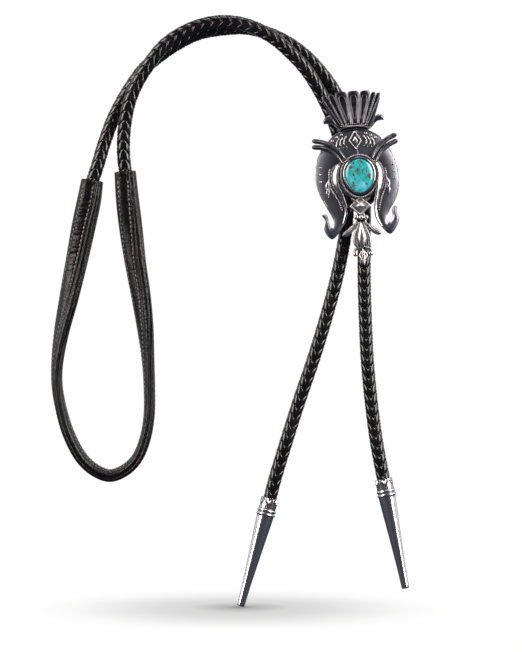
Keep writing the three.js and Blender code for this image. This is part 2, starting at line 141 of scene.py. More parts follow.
# ---------------------------------------------------------------- meshes
class Shell:
    """Closed surfaces gathered into one mesh. Points are in millimetres, and every surface is turned to face out
    by the sign of its volume."""

    def __init__(self):
        self.points, self.quads, self.tris, self.tones, self.count = [], [], [], [], 0

    def add(self, points, quads, tris, tone=None):
        corners = np.concatenate([quads[:, [0, 1, 2]], quads[:, [0, 2, 3]], tris])
        a, b, c = (points[corners[:, i]] - points.mean(axis=0) for i in range(3))
        if np.einsum("ij,ij->i", a, np.cross(b, c)).sum() < 0:
            quads, tris = quads[:, ::-1], tris[:, ::-1]
        self.points.append(points)
        self.quads.append(quads + self.count)
        self.tris.append(tris + self.count)
        self.tones.append(np.zeros(len(points)) if tone is None else tone)
        self.count += len(points)

    def tube(self, rings, tone=None):
        """A closed tube over a (rings, columns, 3) grid: each ring closes on itself and both ends get a pole."""
        rows, columns = rings.shape[:2]
        index = np.arange(rows * columns).reshape(rows, columns)
        turned = np.roll(index, -1, axis=1)
        quads = np.stack([index[:-1], turned[:-1], turned[1:], index[1:]], axis=-1).reshape(-1, 4)
        start, end = rows * columns, rows * columns + 1
        first = np.stack([np.full(columns, start), turned[0], index[0]], axis=-1)
        last = np.stack([np.full(columns, end), index[-1], turned[-1]], axis=-1)
        points = np.concatenate([rings.reshape(-1, 3), rings[[0, -1]].mean(axis=1)])
        if tone is not None:
            tone = np.concatenate([tone.reshape(-1), tone[[0, -1]].mean(axis=1)])
        self.add(points, quads, np.concatenate([first, last]), tone)

    def loop(self, rings, tone=None):
        """A surface closed both ways, such as a ring: rings and columns both return to their start."""
        rows, columns = rings.shape[:2]
        index = np.arange(rows * columns).reshape(rows, columns)
        down, across = np.roll(index, -1, axis=0), np.roll(index, -1, axis=1)
        both = np.roll(down, -1, axis=1)
        quads = np.stack([index, across, both, down], axis=-1).reshape(-1, 4)
        tone = None if tone is None else tone.reshape(-1)
        self.add(rings.reshape(-1, 3), quads, np.zeros((0, 3), int), tone)

    def build(self, name, material, smooth_angle=None):
        points = np.concatenate(self.points) * MM
        quads, tris = np.concatenate(self.quads), np.concatenate(self.tris)
        mesh = bpy.data.meshes.new(name)
        mesh.vertices.add(len(points))
        mesh.vertices.foreach_set("co", points.astype(np.float32).ravel())
        corners = np.concatenate([quads.ravel(), tris.ravel()])
        mesh.loops.add(len(corners))
        mesh.loops.foreach_set("vertex_index", corners.astype(np.int32))
        starts = np.concatenate([np.arange(len(quads)) * 4, len(quads) * 4 + np.arange(len(tris)) * 3])
        mesh.polygons.add(len(starts))
        mesh.polygons.foreach_set("loop_start", starts.astype(np.int32))
        mesh.update(calc_edges=True)
        mesh.validate()
        tone = mesh.attributes.new("tone", "FLOAT", "POINT")
        tone.data.foreach_set("value", np.concatenate(self.tones).astype(np.float32))
        mesh.polygons.foreach_set("use_smooth", np.ones(len(mesh.polygons), bool))
        if smooth_angle:
            mesh.set_sharp_from_angle(angle=math.radians(smooth_angle))
        mesh.materials.append(material)
        piece = bpy.data.objects.new(name, mesh)
        bpy.context.scene.collection.objects.link(piece)
        return piece


# ---------------------------------------------------------------- materials
def linear(hex_colour):
    """sRGB hex to linear RGBA."""
    values = np.array([int(hex_colour[i:i + 2], 16) for i in (1, 3, 5)]) / 255
    low, high = values / 12.92, ((values + 0.055) / 1.055) ** 2.4
    return (*np.where(values <= 0.04045, low, high).tolist(), 1.0)


class Finish:
    """A material and its node tree, with one Principled shader."""

    def __init__(self, name, **settings):
        self.material = bpy.data.materials.new(name)
        self.material.use_nodes = True
        self.tree = self.material.node_tree
        self.tree.nodes.clear()
        self.shader = self.node("ShaderNodeBsdfPrincipled", **settings)
        self.node("ShaderNodeOutputMaterial", Surface=self.shader.outputs[0])

    def node(self, kind, props=None, **sockets):
        """Add a node, set its properties, and fill each named input with a value or a link."""
        made = self.tree.nodes.new(kind)
        for key, value in (props or {}).items():
            setattr(made, key, value)
        for key, value in sockets.items():
            slot = made.inputs[int(key[1:]) if key[0] == "i" and key[1:].isdigit() else key.replace("_", " ")]
            if isinstance(value, bpy.types.NodeSocket):
                self.tree.links.new(value, slot)
            else:
                slot.default_value = value
        return made

    def link(self, name, socket):
        self.tree.links.new(socket, self.shader.inputs[name])

    def ramp(self, value, stops):
        """A colour ramp: stops are (position, hex colour or grey level)."""
        made = self.node("ShaderNodeValToRGB", Fac=value)
        marks = made.color_ramp.elements
        while len(marks) < len(stops):
            marks.new(1.0)
        for mark, (position, colour) in zip(marks, stops):
            mark.position = position
            grey = isinstance(colour, (int, float))
            mark.color = (colour, colour, colour, 1) if grey else linear(colour)
        return made.outputs["Color"]


def black_lace_leather():
    """Vegetable-tanned lace dyed black and waxed: a close dark skin with a soft, broken shine on each crossing."""
    leather = Finish("black_lace_leather", Roughness=0.3, Specular_IOR_Level=0.5, Coat_Weight=0.6, Coat_Roughness=0.13)
    place = leather.node("ShaderNodeTexCoord").outputs["Object"]
    wear = leather.node("ShaderNodeTexNoise", Vector=place, Scale=140.0, Detail=3.0).outputs["Fac"]
    leather.link("Base Color", leather.ramp(wear, [(0.3, "#060404"), (0.55, "#0b0708"), (0.8, "#171113")]))
    grain = leather.node("ShaderNodeTexVoronoi", Vector=place, Scale=2300.0).outputs["Distance"]
    leather.link("Roughness", leather.ramp(wear, [(0.3, 0.22), (0.75, 0.34)]))
    bump = leather.node("ShaderNodeBump", Height=grain, Strength=0.08, Distance=0.0001)
    leather.link("Normal", bump.outputs["Normal"])
    return leather.material


def pebbled_strap_leather():
    """Black pebble-grained hide, plated to a semi-gloss: small rounded pebbles catch the light between dark creases."""
    leather = Finish("pebbled_strap_leather", Roughness=0.42, Specular_IOR_Level=0.42)
    place = leather.node("ShaderNodeTexCoord").outputs["Object"]
    pebbles = leather.node("ShaderNodeTexVoronoi", {"feature": "F1"}, Vector=place, Scale=1500.0).outputs["Distance"]
    cloud = leather.node("ShaderNodeTexNoise", Vector=place, Scale=420.0, Detail=5.0).outputs["Fac"]
    leather.link("Base Color", leather.ramp(cloud, [(0.3, "#080506"), (0.6, "#0e090c"), (0.8, "#1b1418")]))
    leather.link("Roughness", leather.ramp(cloud, [(0.3, 0.28), (0.75, 0.4)]))
    height = leather.node("ShaderNodeMath", {"operation": "MULTIPLY_ADD"}, i0=cloud, i1=1.2, i2=pebbles)
    bump = leather.node("ShaderNodeBump", {"invert": True}, Height=height.outputs[0], Strength=0.55, Distance=0.0002)
    leather.link("Normal", bump.outputs["Normal"])
    return leather.material


def waxed_thread_painted_glint():
    """Black waxed polyester thread: smooth, tight and a little shinier than the hide round it. Its colour is a painted
    glint of mid to light grey, lighter than the black thread itself.
    """
    thread = Finish("waxed_thread_painted_glint", Roughness=0.3, Specular_IOR_Level=0.6, Coat_Weight=0.3, Coat_Roughness=0.2)
    place = thread.node("ShaderNodeTexCoord").outputs["Object"]
    thread_glint_cloud = thread.node("ShaderNodeTexNoise", Vector=place, Scale=1500.0).outputs["Fac"]
    # painted glint: random patches from mid grey to light grey stand for light caught on the black thread
    thread.link("Base Color", thread.ramp(thread_glint_cloud, [(0.35, "#4a4449"), (0.7, "#978d93")]))
    return thread.material


def silver(name, bright, mid, dark, roughness, staining):
    """Sterling silver blackened with sulphur and polished back: the high spots are bright mirrors, and the tone
    attribute and a fine cloud keep the grey-blue sulphide in the recesses."""
    metal = Finish(name, Metallic=1.0, Roughness=roughness)
    place = metal.node("ShaderNodeTexCoord").outputs["Object"]
    tone = metal.node("ShaderNodeAttribute", {"attribute_name": "tone"}).outputs["Fac"]
    cloud = metal.node("ShaderNodeTexNoise", Vector=place, Scale=380.0, Detail=5.0, Roughness=0.6).outputs["Fac"]
    stain = metal.node("ShaderNodeMath", {"operation": "MULTIPLY_ADD"}, i0=cloud, i1=staining, i2=tone)
    settled = metal.node("ShaderNodeMath", {"operation": "SUBTRACT", "use_clamp": True}, i0=stain.outputs[0],
                          i1=staining / 2)
    metal.link("Base Color", metal.ramp(settled.outputs[0], [(0.0, bright), (0.3, mid), (0.85, dark)]))
    metal.link("Roughness", metal.ramp(settled.outputs[0], [(0.0, roughness), (0.9, roughness + 0.3)]))
    scratch = metal.node("ShaderNodeTexNoise", Vector=place, Scale=1400.0, Detail=3.0).outputs["Fac"]
    bump = metal.node("ShaderNodeBump", Height=scratch, Strength=0.03, Distance=0.0001)
    metal.link("Normal", bump.outputs["Normal"])
    return metal.material


def stage_with_painted_shadow():
    """Plain white sweep for the floor and background, glowing by its own emission, with a painted soft grey pool of
    shade on the floor below the tips that darkens that emission."""
    sweep = Finish("stage_with_painted_shadow", Base_Color=linear("#303030"), Roughness=0.9, Specular_IOR_Level=0.0)
    place = sweep.node("ShaderNodeTexCoord").outputs["Object"]
    # painted shadow: a wide soft grey patch on the floor below the tips, darkest at its middle
    pool = sweep.node("ShaderNodeMapping", {"vector_type": "TEXTURE"}, Vector=place, Location=PAINTED_SHADOW_CENTRE,
                      Scale=PAINTED_SHADOW_REACH)
    away = sweep.node("ShaderNodeVectorMath", {"operation": "LENGTH"}, i0=pool.outputs[0]).outputs["Value"]
    wide = sweep.ramp(away, [(0.0, 0.6), (0.35, 0.7), (0.7, 0.91), (1.0, 1.0)])
    # painted contact shadow: a small darker patch on the floor right under the left tip
    near = sweep.node("ShaderNodeMapping", {"vector_type": "TEXTURE"}, Vector=place, Location=PAINTED_CONTACT_SHADOW_CENTRE,
                      Scale=PAINTED_CONTACT_SHADOW_REACH)
    close = sweep.node("ShaderNodeVectorMath", {"operation": "LENGTH"}, i0=near.outputs[0]).outputs["Value"]
    tight = sweep.ramp(close, [(0.0, 0.35), (0.3, 0.72), (1.0, 1.0)])
    both = sweep.node("ShaderNodeMixRGB", {"blend_type": "MULTIPLY"}, Fac=1.0, Color1=wide, Color2=tight)
    # both painted shadows are multiplied into the floor's emitted white
    sweep.link("Emission Color", both.outputs[0])
    sweep.shader.inputs["Emission Strength"].default_value = 1.0
    return sweep.material


# ---------------------------------------------------------------- camera, lights, stage
def look_at(thing, place, target):
    """Put the thing at place with its -Z axis towards target and its +Y axis up."""
    forward = unit(np.subtract(target, place))
    side = unit(np.cross(forward, (0, 0, 1)))
    up = np.cross(side, forward)
    rows = np.stack([side, up, -forward], axis=1)
    matrix = np.eye(4)
    matrix[:3, :3], matrix[:3, 3] = rows, np.multiply(place, MM)
    thing.matrix_world = Matrix(matrix.tolist())


def add_camera():
    data = bpy.data.cameras.new("camera")
    data.sensor_fit = "HORIZONTAL"
    data.sensor_width = 36.0
    data.lens = 36.0 * CAMERA_DISTANCE / FRAME_WIDE
    data.clip_start, data.clip_end = 0.05, 50.0
    camera = bpy.data.objects.new("camera", data)
    bpy.context.scene.collection.objects.link(camera)
    x, z = FRAME_CENTRE
    look_at(camera, (x, -CAMERA_DISTANCE, z), (x, 0, z))
    bpy.context.scene.camera = camera


def add_softbox(name, place, target, wide, high, power, colour="#ffffff"):
    data = bpy.data.lights.new(name, "AREA")
    data.shape = "RECTANGLE"
    data.size, data.size_y = wide * MM, high * MM
    data.energy = power
    data.color = linear(colour)[:3]
    box = bpy.data.objects.new(name, data)
    bpy.context.scene.collection.objects.link(box)
    look_at(box, place, target)


def add_strip(name, depth, height, material):
    """One wide strip of the stage, carried across from a run of depths and heights."""
    reach = 1500.0
    rows = np.stack([np.stack([np.full_like(depth, x), depth, height], axis=1) for x in (-reach, reach)])
    count = len(depth)
    faces = [(i, i + count, i + count + 1, i + 1) for i in range(count - 1)]
    mesh = bpy.data.meshes.new(name)
    mesh.from_pydata((rows.reshape(-1, 3) * MM).tolist(), [], faces)
    mesh.polygons.foreach_set("use_smooth", np.ones(len(faces), bool))
    mesh.materials.append(material)
    strip = bpy.data.objects.new(name, mesh)
    bpy.context.scene.collection.objects.link(strip)
    return strip


def add_stage():
    """Floor in front, kept out of the metal's reflections, and behind it a sweep that curves up into a wall."""
    radius, back, join, near, tall = 600.0, 3400.0, 900.0, -320.0, 2600.0
    turn = np.linspace(0, math.pi / 2, 24)
    depth = np.concatenate([[join], back - radius + radius * np.sin(turn), [back]])
    height = np.concatenate([[0], radius * (1 - np.cos(turn)), [tall]]) + FLOOR
    # the stage material carries the painted floor shadows
    material = stage_with_painted_shadow()
    add_strip("sweep", depth, height, material)
    floor = add_strip("floor", np.array([near, join]), np.array([FLOOR, FLOOR]), material)
    floor.visible_glossy = False


def add_light():
    world = bpy.data.worlds.new("studio")
    world.use_nodes = True
    world.node_tree.nodes["Background"].inputs["Color"].default_value = linear("#4a5562")
    world.node_tree.nodes["Background"].inputs["Strength"].default_value = 0.6
    scene = bpy.context.scene
    scene.world = world
    scene.view_settings.view_transform = "Standard"
    middle = (5, 0, -110)
    add_softbox("left_softbox", (-640, -370, 170), middle, 300, 800, 6.4, "#fff0ea")
    add_softbox("right_softbox", (650, -340, 170), middle, 300, 800, 7.6, "#fff2ee")
    add_softbox("left_card", (-760, 300, 300), middle, 900, 1100, 2.4)
    add_softbox("right_card", (760, 300, 300), middle, 900, 1100, 2.8)
    add_softbox("top_softbox", (60, -50, 900), middle, 500, 400, 2.0)


add_camera()
add_light()
add_stage()


# ---------------------------------------------------------------- plaited cords
LACE_PITCH = 4.2
LACES_EACH_WAY = 4
LACE_THICK = 0.56
LACE_RADIUS = 2.58
LACE_RISE = 0.21


def cord_frames(route, step):
    """Even points along a route with its tangent, the direction that faces the front and the one to its side."""
    line, distance = even(catmull_rom(route), step)
    tangent = unit(np.gradient(line, axis=0))
    front = np.array([0.0, -1.0, 0.0])
    front = unit(front - tangent * (tangent @ front)[:, None])
    return line, distance, tangent, front, np.cross(tangent, front)


def plaited_cord(name, route, material):
    """Round plait of eight laces, four wound each way, each over two and under two. A lace's middle turns
    steadily round the cord as it runs along it: angle = (lace - hand * distance / pitch) quarter turns. Its height
    is a flattened sine of twice that angle, up for one hand where it is down for the other, so four columns of
    slanted crossings run along the cord. Each lace's section is a strip with a low dome and rounded edges."""
    line, distance, _, front, side = cord_frames(route, 0.5)
    across = np.array([-0.49, -0.44, -0.3, 0.0, 0.3, 0.44, 0.49, 0.42, 0.0, -0.42])
    dome = np.array([-0.5, 0.25, 0.8, 1.0, 0.8, 0.25, -0.5, -1, -1, -1]) * LACE_THICK / 2
    run = (distance / LACE_PITCH)[:, None]
    shell = Shell()
    for hand in (1, -1):
        for lace in range(LACES_EACH_WAY):
            angle = (lace + across - hand * run) * 2 * math.pi / LACES_EACH_WAY
            over = hand * np.sin(2 * angle)
            rise = np.sign(over) * np.abs(over) ** 0.6 * LACE_RISE
            reach = (LACE_RADIUS + rise + dome)[..., None]
            around = np.cos(angle)[..., None] * front[:, None] + np.sin(angle)[..., None] * side[:, None]
            shell.tube(line[:, None] + around * reach)
    turn = np.arange(12) * 2 * math.pi / 12
    core = np.cos(turn)[None, :, None] * front[::4, None] + np.sin(turn)[None, :, None] * side[::4, None]
    shell.tube(line[::4, None] + core * (LACE_RADIUS - LACE_RISE))
    piece = shell.build(name, material)
    return piece, line, float(distance[-1])


lace_leather = black_lace_leather()
front_cord, front_line, front_length = plaited_cord("plaited_cord_front", FRONT_CORD, lace_leather)
rear_cord, rear_line, rear_length = plaited_cord("plaited_cord_rear", REAR_CORD, lace_leather)


# ---------------------------------------------------------------- neck strap
STRAP_STEP = 0.45
FACE_COLUMNS = 46
STITCH_ROWS = (-3.25, 0.95)
GROOVE_AT = 2.3
STITCH_PITCH = 1.9


def strap_table(distance_step=STRAP_STEP):
    """The strap's centre line with its own width, thickness and directions at every step: the edge that carries
    the groove, and the stitched outer face."""
    rows = np.array([(x, 0.0, z, turn, wide, thick) for x, z, turn, wide, thick in STRAP_STATIONS], float)
    curve, distance = even(catmull_rom(rows), distance_step)
    line, turn = curve[:, :3], np.radians(curve[:, 3])[:, None]
    tangent = unit(np.gradient(line, axis=0))
    outward = np.stack([tangent[:, 2], np.zeros(len(line)), -tangent[:, 0]], axis=1)
    front = np.array([[0.0, -1.0, 0.0]])
    edge = np.cos(turn) * front - np.sin(turn) * outward
    face = np.cos(turn) * outward + np.sin(turn) * front
    return {"line": line, "distance": distance, "edge": edge, "face": face, "wide": curve[:, 4], "thick": curve[:, 5]}


def strap_height(distance, length, across, wide, thick, outer):
    """Half thickness of the strap at a place across it, as it stands out from the middle plane: a rounded
    rectangle, sunk along each row of stitches, cut by a deep groove beside the rolled edge and by a crease near
    each end, with fine cross wrinkles on the outer face where the left leg bends."""
    share = np.clip(np.abs(2 * across / wide), 0, 1)
    height = thick / 2 * (1 - share ** 4.5) ** (1 / 2.6)
    sunk = sum(0.28 * np.exp(-(((across - row) / 0.28) ** 2)) for row in STITCH_ROWS)
    groove = (0.55 if outer else 0.4) * np.exp(-(((across - GROOVE_AT) / 0.42) ** 2))
    middle = sum(STITCH_ROWS) / 2
    padded = np.clip(1 - ((across - middle) / 2.1) ** 2, 0, 1)
    ends = np.minimum(distance, length - distance)
    crease = 0.35 * np.exp(-(((ends - 2.1) / 0.3) ** 2)) * soft_step(padded, 0, 0.3)
    height = height + 0.22 * padded - sunk - groove - crease
    if outer:
        bend = soft_step(distance, 5, 10) * (1 - soft_step(distance, 30, 44))
        wave = np.sin(distance * 3.3 + 1.7 * np.sin(distance * 0.9) + 0.35 * across)
        height = height + 0.4 * bend * padded * wave * (0.6 + 0.4 * np.sin(distance * 0.71 + across))
    return height


def strap_surface(table, across, outer):
    """Points of one face: the centre line, moved across by the edge direction and out by the strap's height."""
    length = table["distance"][-1]
    distance, wide, thick = (table[key][:, None] for key in ("distance", "wide", "thick"))
    height = strap_height(distance, length, across, wide, thick, outer) * (1 if outer else -1)
    slit = np.exp(-((height / 0.42) ** 2)) * soft_step(across, wide / 2 - 1.0, wide / 2)
    moved = across - 0.9 * slit
    return table["line"][:, None] + moved[..., None] * table["edge"][:, None] + height[..., None] * table["face"][:, None]


def neck_strap(material):
    """Both faces of the strap joined round its edges into one tube, with an open socket at each end: the last
    ring draws in to a circle round the cord and then goes down beside it."""
    table = strap_table()
    spread = np.sin(np.linspace(-math.pi / 2, math.pi / 2, FACE_COLUMNS))
    across = spread[None, :] * table["wide"][:, None] / 2
    outer = strap_surface(table, across, True)
    inner = strap_surface(table, across[:, ::-1], False)
    rings = np.concatenate([outer, inner[:, 1:-1]], axis=1)
    ends = []
    for end, route in ((0, REAR_CORD), (-1, FRONT_CORD)):
        mouth, deep = np.array(route[1], float), np.array(route[0], float)
        inward = unit(deep - mouth)
        spoke = rings[end] - rings[end].mean(axis=0)
        spoke = unit(spoke - (spoke @ inward)[:, None] * inward)
        rim = rings[end] - (rings[end] - rings[end].mean(axis=0)) * 0.1 - inward * 0.25
        lip = rings[end].mean(axis=0) + spoke * 3.25
        ends.append([rim, lip, lip + inward * 4])
    rings = np.concatenate([np.stack(ends[0][::-1]), rings, np.stack(ends[1])])
    shell = Shell()
    shell.tube(rings)
    return shell.build("stitched_neck_strap", material)


def strap_stitches(material):
    """Short round stitches laid along both rows on both faces: each is a closed spindle between two points of the
    strap's surface, sunk at its ends."""
    table = strap_table(0.1)
    length = table["distance"][-1]
    starts = np.arange(2.4, length - 3.4, STITCH_PITCH)
    shell = Shell()
    turn = np.arange(8) * 2 * math.pi / 8
    for outer in (True, False):
        for row in STITCH_ROWS:
            line = strap_surface(table, np.full((len(table["line"]), 1), row), outer)[:, 0]
            normal = table["face"] * (1 if outer else -1)
            for start in starts:
                picked = np.searchsorted(table["distance"], start + np.linspace(0, 1.45, 7))
                middle = line[picked] + normal[picked] * (0.26 * np.sin(np.linspace(0, math.pi, 7)) - 0.06)[:, None]
                along = unit(np.gradient(middle, axis=0))
                sideways = unit(np.cross(along, normal[picked]))
                up = np.cross(sideways, along)
                radius = 0.3 * np.sqrt(np.sin(np.linspace(0.12, math.pi - 0.12, 7)))[:, None, None]
                ring = np.cos(turn)[None, :, None] * sideways[:, None] + np.sin(turn)[None, :, None] * up[:, None]
                shell.tube(middle[:, None] + ring * radius)
    return shell.build("strap_stitches", material)


strap_leather = pebbled_strap_leather()
strap = neck_strap(strap_leather)
stitches = strap_stitches(waxed_thread_painted_glint())


# ---------------------------------------------------------------- tips
TIP_LENGTH = 47.5
TIP_POINTS = 6


def tip(name, route, material):
    """A turned cone carried round its axis. From the mouth down: a sleeve whose top edge rises in pointed arches,
    each outlined by a raised line over a dark field, two wire rings, and a long taper to a small blunt end. The
    radius is a smooth curve through a few heights, plus a cosine bulge for each wire."""
    mouth, inner = np.array(route[-2], float), np.array(route[-1], float)
    down = unit(inner - mouth)
    front = unit(np.array([0, -1.0, 0]) - down * down[1] * -1.0)
    side = np.cross(down, front)
    turn = np.linspace(0, 2 * math.pi, 144, endpoint=False)
    fine = np.concatenate([np.linspace(-0.2, 8.2, 64), np.linspace(8.6, TIP_LENGTH - 0.6, 50)])
    depth = fine[:, None]
    taper = np.interp(fine, [-1.6, 0, 4.4, 7.6, 11, 18, 28, 38, 46.9], [3.5, 3.6, 3.62, 3.66, 3.5, 3.05, 2.45, 1.9, 1.6])
    radius = np.repeat(taper[:, None], len(turn), axis=1)
    for wire in (5.3, 6.9):
        radius = radius + 0.42 * np.sqrt(np.clip(1 - ((depth - wire) / 0.62) ** 2, 0, 1))
    arch = np.abs(np.mod(turn * TIP_POINTS / (2 * math.pi), 1) - 0.5) * 2
    top = 0.0 + 1.9 * arch[None, :] ** 1.4
    height_on_arch = depth - top
    line = np.exp(-(((height_on_arch - 0.25) / 0.22) ** 2))
    inner_line = np.exp(-(((depth - 4.3 + 3.2 * (1 - arch[None, :]) ** 0.9) / 0.3) ** 2)) * (depth < 4.5)
    radius = radius + 0.16 * line + 0.16 * inner_line
    above = height_on_arch < 0
    sunk = soft_step(-height_on_arch, 0.0, 0.5)
    radius = np.where(above, radius * (1 - sunk) + 2.9 * sunk, radius)
    field = (depth < 4.6) * (depth > top) * (1 - np.clip(line + inner_line, 0, 1))
    tone = 0.6 * field * soft_step(-(depth - 4.3 + 3.2 * (1 - arch[None, :]) ** 0.9), -0.3, 0.3)
    tone = tone + 0.5 * np.exp(-(((depth - 6.1) / 0.25) ** 2)) + 0.5 * np.exp(-(((depth - 4.5) / 0.2) ** 2))
    tone = tone + 0.5 * np.exp(-(((depth - 7.75) / 0.25) ** 2))
    around = np.cos(turn)[None, :, None] * front + np.sin(turn)[None, :, None] * side
    rings = mouth + depth[..., None] * down + around * radius[..., None]
    cap_depth = np.array([TIP_LENGTH - 0.25, TIP_LENGTH - 0.05, TIP_LENGTH])[:, None, None]
    cap_radius = np.array([1.55, 1.35, 1.0])[:, None, None]
    cap = mouth + cap_depth * down + around * cap_radius
    bore = mouth + np.array([8.0, 0.4])[:, None, None] * down + around * 2.7
    rings = np.concatenate([bore, rings, cap])
    tone = np.concatenate([np.ones((2, len(turn))), np.clip(tone, 0, 1), np.zeros((3, len(turn)))])
    shell = Shell()
    shell.tube(rings, tone)
    return shell.build(name, material)


polished_silver = silver("polished_silver", "#e9e6e6", "#b5b0b2", "#3a3638", 0.22, 0.15)
left_tip = tip("silver_tip_left", FRONT_CORD, polished_silver)
right_tip = tip("silver_tip_right", REAR_CORD, polished_silver)

# ---------------------------------------------------------------- slide
SLIDE_CENTRE = (57.0, -60.17)
SLIDE_LEAN = math.radians(3.73)
PLATE_BACK = 4.3
ARM_CROWN = 0.75
CROWN_EDGE = (-7.2, 5.6, 20.3)

LEFT_OUTER = [(0, 20.6), (-7.1, 19.4), (-12.6, 15.6), (-17.6, 8.4), (-18.8, 0.4), (-17.7, -5.6), (-14.6, -12.6),
              (-12.4, -17.4), (-12.9, -20.9), (-13.9, -20.0), (-14.1, -17.6), (-14.6, -15.9), (-15.5, -15.1)]
LEFT_INNER = [(0, 6.0), (-4, 5.5), (-8.2, 4.8), (-10.2, 3.2), (-10.9, 0.2), (-10.3, -4.1), (-7.0, -10.8),
              (-6.2, -16.6), (-9.2, -22.2), (-13.3, -25.9), (-16.3, -21.6), (-15.6, -18.0), (-17.1, -15.4)]
RIGHT_OUTER = [(0, 20.6), (5.3, 19.3), (10.7, 15.5), (15.2, 8.0), (16.9, 0.8), (16.7, -5.4), (14.3, -11.4),
               (11.4, -16.0), (10.7, -20.2), (12.0, -19.6), (13.1, -17.2), (13.0, -14.9), (13.6, -13.4)]
RIGHT_INNER = [(0, 6.0), (4, 5.5), (7.8, 4.8), (8.9, 3.0), (9.3, 0.2), (9.0, -3.6), (6.4, -10.5),
               (5.5, -15.6), (8.0, -21.6), (11.7, -25.1), (15.7, -19.3), (14.9, -16.2), (15.2, -13.5)]
LEFT_HORN = ([(-7.0, 20.8), (-8.2, 23.0), (-9.6, 25.6), (-11.4, 26.6), (-13.2, 25.6), (-13.9, 23.9)],
             [(-7.5, 20.0), (-8.6, 21.5), (-9.8, 22.6), (-11.2, 23.1), (-12.6, 23.2), (-13.8, 23.5)])
RIGHT_HORN = ([(5.3, 20.8), (6.4, 22.8), (7.6, 24.8), (9.9, 25.9), (11.5, 25.2), (12.1, 23.9)],
              [(5.8, 20.0), (7.2, 21.5), (8.2, 22.6), (9.4, 23.3), (10.9, 23.5), (12.0, 23.6)])


def slide_point(u, v, w):
    """A place on the slide, u to the right, v up and w forward, leant with the slide and put in the frame."""
    x = SLIDE_CENTRE[0] + u * math.cos(SLIDE_LEAN) - v * math.sin(SLIDE_LEAN)
    z = SLIDE_CENTRE[1] + u * math.sin(SLIDE_LEAN) + v * math.cos(SLIDE_LEAN)
    return np.stack(np.broadcast_arrays(x, -np.asarray(w, float), z), axis=-1)


def plate_height(u, v):
    """Front of the plate: a shallow dome about the stone that flattens into the crown and the hooks."""
    away = (u / 19) ** 2 + ((v - 2) / 23) ** 2
    return 5.0 + 2.2 * np.clip(1 - away, 0, 1)


def matched_edges(edge_a, edge_b, rows):
    """Two edges as smooth curves, resampled together so that their stations stay opposite each other."""
    return np.split(smooth_line(np.column_stack([np.array(edge_a, float), np.array(edge_b, float)]), rows), 2, axis=1)


def crown_lift(crown, width, share):
    """How far a domed strip's front stands above its edges at a share of the way across: a parabola."""
    return np.minimum(crown, width * 0.35) * 4 * share * (1 - share)


def sheet(shell, edge_a, edge_b, crown, tone=0.5, rows=160, columns=15, height=plate_height, rim=0.7):
    """A domed strip between two edges: across it the front rises as a flattened half circle over the plate's
    height, and the back is flat. The tone is dark in the field and bright near both edges."""
    a, b = matched_edges(edge_a, edge_b, rows)
    a, b = a[:, None], b[:, None]
    q = 0.5 - 0.5 * np.cos(np.linspace(0, math.pi, columns))[None, :, None]
    flat = a + (b - a) * q
    width = np.linalg.norm(b - a, axis=-1)
    lift = crown_lift(crown, width, q[..., 0])
    front = height(flat[..., 0], flat[..., 1]) + lift
    gap = np.minimum(q[..., 0], 1 - q[..., 0]) * width
    shade = tone * (1 - np.exp(-((gap / rim) ** 2)))
    top = slide_point(flat[..., 0], flat[..., 1], front)
    back_w = np.minimum(front[:, [0]] - 0.9, front[:, [-1]] - 0.9)
    under = slide_point(flat[:, ::-1, 0], flat[:, ::-1, 1], np.repeat(back_w, columns, axis=1))
    shell.tube(np.concatenate([top, under], axis=1), np.concatenate([shade, np.full_like(shade, 0.4)], axis=1))


def ribbon(shell, centre, half, crown=0.8, tone=0.4, rows=48, columns=11, height=plate_height, lift=0.0, rim=0.4,
           hatch=0.0, tilt=0.0):
    """A strip that follows a centre line with its own half width at each point, domed across, as in sheet. The
    hatch adds fine ridges across it, as a rectified sine along the strip, and the tilt slopes it from side to
    side."""
    line = smooth_line(np.column_stack([np.array(centre, float), half]), rows)
    tangent = unit(np.gradient(line[:, :2], axis=0))
    normal = np.stack([-tangent[:, 1], tangent[:, 0]], axis=1)
    offset = normal * line[:, 2:3]
    run = np.concatenate([[0], np.cumsum(np.linalg.norm(np.diff(line[:, :2], axis=0), axis=1))])[:, None]
    q = -np.cos(np.linspace(0, math.pi, columns))
    flat = line[:, None, :2] + offset[:, None] * q[None, :, None]
    dome = (1 - q ** 2) ** 0.6
    cut = hatch * (1 - np.abs(np.sin(run * 3.4 + q * 0.7))) * dome
    slope = tilt * q * line[:, 2:3]
    front = height(flat[..., 0], flat[..., 1]) + lift + crown * dome + slope - cut
    gap = (1 - np.abs(q))[None, :] * line[:, 2:3]
    shade = tone * (1 - np.exp(-((gap / rim) ** 2))) + cut / max(hatch, 1e-6) * 0.5
    top = slide_point(flat[..., 0], flat[..., 1], front)
    under = slide_point(flat[:, ::-1, 0], flat[:, ::-1, 1], np.minimum(front[:, [0]], front[:, [-1]]) - 0.8 + 0 * front)
    shell.tube(np.concatenate([top, under], axis=1), np.concatenate([shade, np.full_like(shade, 0.5)], axis=1))


